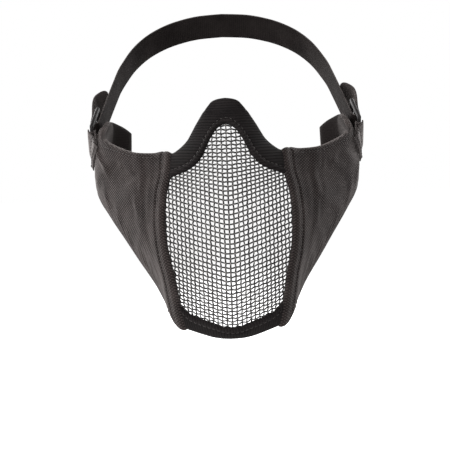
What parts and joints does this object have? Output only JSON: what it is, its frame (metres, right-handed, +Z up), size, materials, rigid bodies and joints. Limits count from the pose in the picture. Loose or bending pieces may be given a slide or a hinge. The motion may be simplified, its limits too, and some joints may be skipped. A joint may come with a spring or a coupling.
{
  "type": "mesh face mask",
  "caption": "Black lower-face mask with a formed wire mesh front, ribbed nose bridge, padded cheek panels, strap sliders and one head strap.",
  "frame": {"origin": "on the nose bridge's inner face, in the middle, where it rests on the bridge of a nose", "axes": "+X to the picture's right, +Y from the mesh back to the strap, +Z up; the mask faces -Y"},
  "size_m": [0.183, 0.2095, 0.2123],
  "materials": {
    "ribbed_fabric": "matt ribbed weave",
    "dense_fabric": "matt dense weave",
    "black_wire": "satin black coating",
    "webbing": "matt elastic webbing",
    "black_plastic": "satin moulded"
  },
  "bodies": {
    "root": {"nose_bridge": "ribbed_fabric", "chin_strip": "ribbed_fabric", "mesh_panel": "black_wire", "head_strap": "webbing", "cheek_panel_right": "dense_fabric", "cheek_panel_left": "dense_fabric", "strap_tab_right": "webbing", "strap_tab_left": "webbing", "strap_slider_right": "black_plastic", "strap_slider_left": "black_plastic"}
  },
  "joints": []
}
